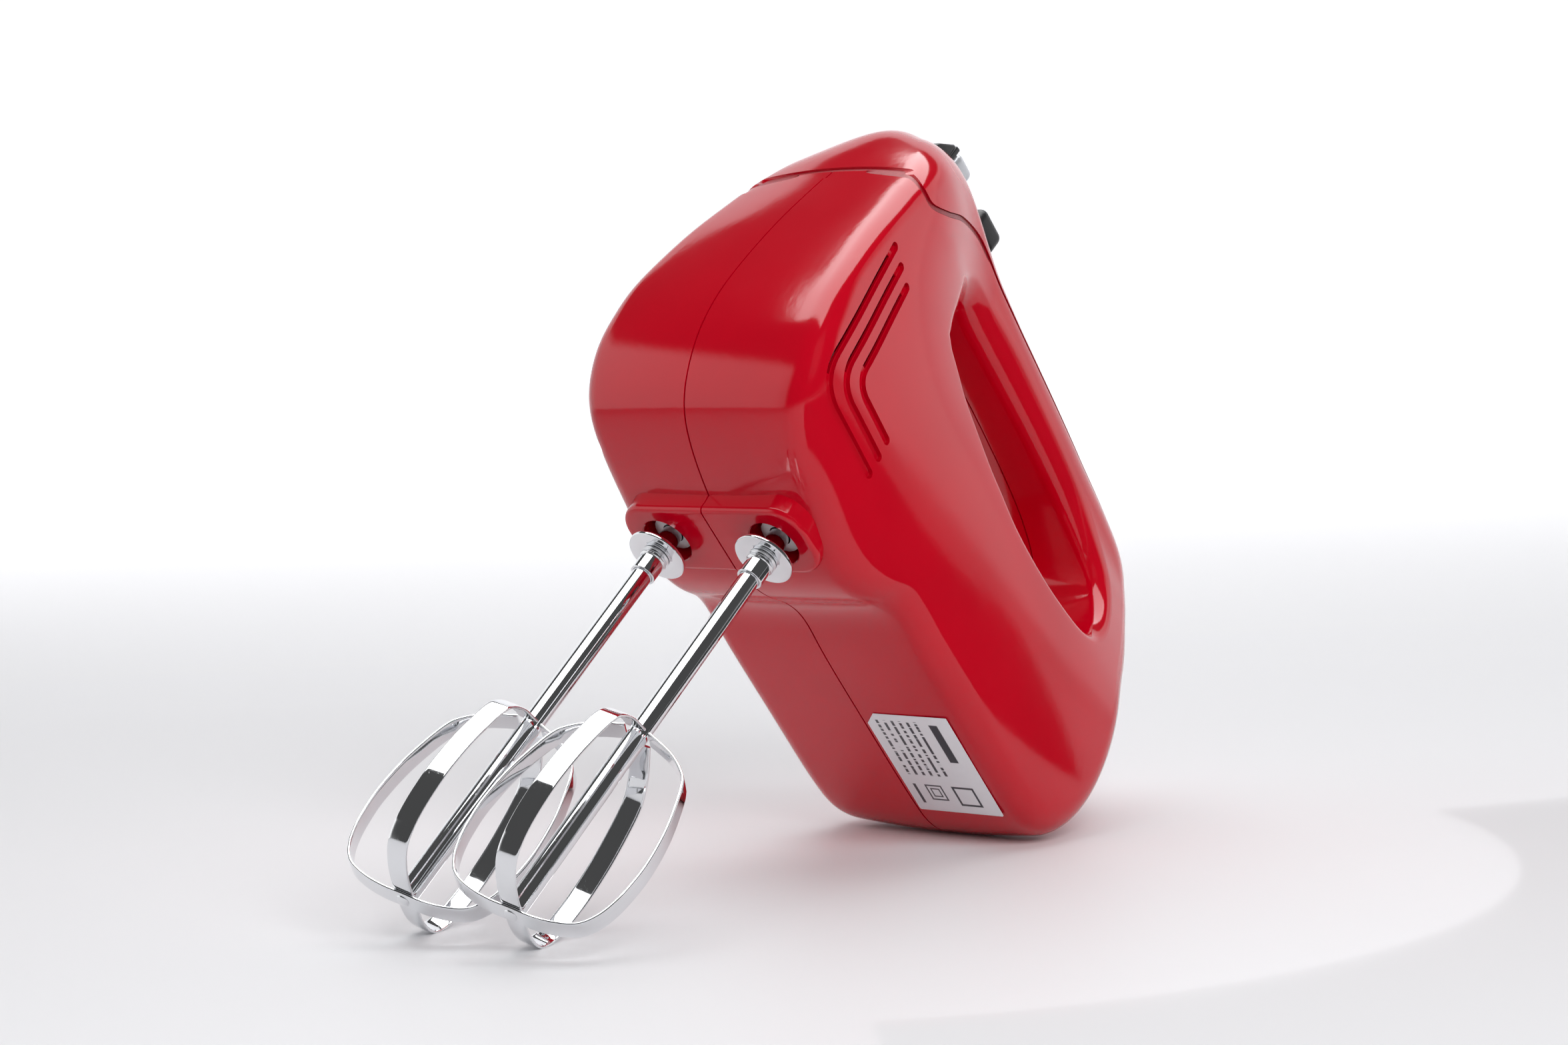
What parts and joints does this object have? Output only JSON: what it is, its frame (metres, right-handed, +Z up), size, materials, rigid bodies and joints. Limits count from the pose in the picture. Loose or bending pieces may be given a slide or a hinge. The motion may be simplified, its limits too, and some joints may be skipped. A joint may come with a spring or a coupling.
{
  "type": "hand mixer",
  "caption": "Handheld kitchen mixer with a glossy shell, a closed loop handle, a worm-driven gearbox and twin wire-loop beaters that turn against each other.",
  "frame": {"origin": "centre of the bounding box's bottom, on the surface that the mixer stands on with its heel and its two beaters", "axes": "+X from the beaters towards the heel, +Y to the right-hand side of someone holding the handle, +Z up"},
  "size_m": [0.2908, 0.0894, 0.2118],
  "materials": {
    "red_plastic": "high gloss, bright red",
    "dark_red_plastic": "soft dark red seal in the cover joint",
    "black_plastic": "satin black",
    "black_rubber": "matt black rubber",
    "chrome": "mirror chrome plate",
    "silver_plastic": "satin silver paint",
    "steel": "plain bright steel",
    "laminated_iron": "laminated sheet iron",
    "copper": "enamelled copper",
    "brass": "plain brass",
    "nylon": "natural nylon",
    "carbon": "pressed carbon",
    "label_foil": "silvery white label foil"
  },
  "bodies": {
    "housing": {"housing_left": "red_plastic", "housing_right": "red_plastic", "top_cover": "red_plastic", "cover_seal": "dark_red_plastic", "rating_plate": "label_foil", "cord_inlet": "black_rubber", "eject_guide": "nylon", "eject_spring": "steel", "speed_switch": "black_plastic", "stator_core": "laminated_iron", "field_coil_upper": "copper", "field_coil_lower": "copper", "motor_front_bracket": "steel", "motor_rear_bracket": "steel", "bearing_front": "brass", "bearing_rear": "brass", "bearing_worm_end": "brass", "brush_left": "carbon", "brush_holder_left": "brass", "bush_lower_left": "brass", "bush_upper_left": "brass", "brush_right": "carbon", "brush_holder_right": "brass", "bush_lower_right": "brass", "bush_upper_right": "brass", "gearbox_plate_lower": "steel", "gearbox_plate_upper": "steel", "screw_head_upper": "steel", "screw_head_lower": "steel", "screw_heel": "steel", "screw_rear": "steel", "screw_handle_rear": "steel"},
    "eject_control": {"eject_button": "black_plastic", "eject_trim": "silver_plastic", "eject_yoke": "nylon"},
    "speed_control": {"speed_slider": "black_plastic"},
    "motor_rotor": {"armature_shaft": "steel", "rotor_core": "laminated_iron", "rotor_winding_front": "copper", "rotor_winding_rear": "copper", "commutator": "copper", "cooling_fan": "black_plastic"},
    "spindle_left_turning": {"spindle_left": "steel", "spindle_gear_left": "nylon"},
    "beater_left": {"beater_shaft_left": "chrome", "beater_collar_left": "chrome", "beater_hub_left": "chrome", "beater_loop_outer_left": "chrome", "beater_loop_inner_left": "chrome", "beater_rivet_left": "chrome"},
    "spindle_right_turning": {"spindle_right": "steel", "spindle_gear_right": "nylon"},
    "beater_right": {"beater_shaft_right": "chrome", "beater_collar_right": "chrome", "beater_hub_right": "chrome", "beater_loop_outer_right": "chrome", "beater_loop_inner_right": "chrome", "beater_rivet_right": "chrome"}
  },
  "joints": [
    {"name": "eject_press", "type": "slide", "parent": "housing", "child": "eject_control", "axis": [-0.7814, 0, -0.624], "range_m": [0, 0.006], "stiffness_N_per_m": 300, "springref_m": -0.008, "deforming": ["eject_spring"]},
    {"name": "speed_slide", "type": "slide", "parent": "housing", "child": "speed_control", "axis": [0.624, 0, -0.7814], "range_m": [0, 0.016]},
    {"name": "motor_spin", "type": "hinge", "parent": "housing", "child": "motor_rotor", "pos_m": [0.03404, 0, 0.07686], "axis": [0.624, 0, -0.7814], "continuous": true},
    {"name": "spindle_left_spin", "type": "hinge", "parent": "housing", "child": "spindle_left_turning", "pos_m": [-0.03568, -0.02, 0.09285], "axis": [0.7814, 0, 0.624], "continuous": true},
    {"name": "beater_left_pull", "type": "slide", "parent": "spindle_left_turning", "child": "beater_left", "axis": [-0.7814, 0, -0.624], "range_m": [0, 0.04]},
    {"name": "spindle_right_spin", "type": "hinge", "parent": "housing", "child": "spindle_right_turning", "pos_m": [-0.03568, 0.02, 0.09285], "axis": [0.7814, 0, 0.624], "continuous": true},
    {"name": "beater_right_pull", "type": "slide", "parent": "spindle_right_turning", "child": "beater_right", "axis": [-0.7814, 0, -0.624], "range_m": [0, 0.04]}
  ],
  "couplings": [
    {"joint": "spindle_left_spin", "follows": "motor_spin", "ratio": 0.05},
    {"joint": "spindle_right_spin", "follows": "motor_spin", "ratio": -0.05}
  ]
}
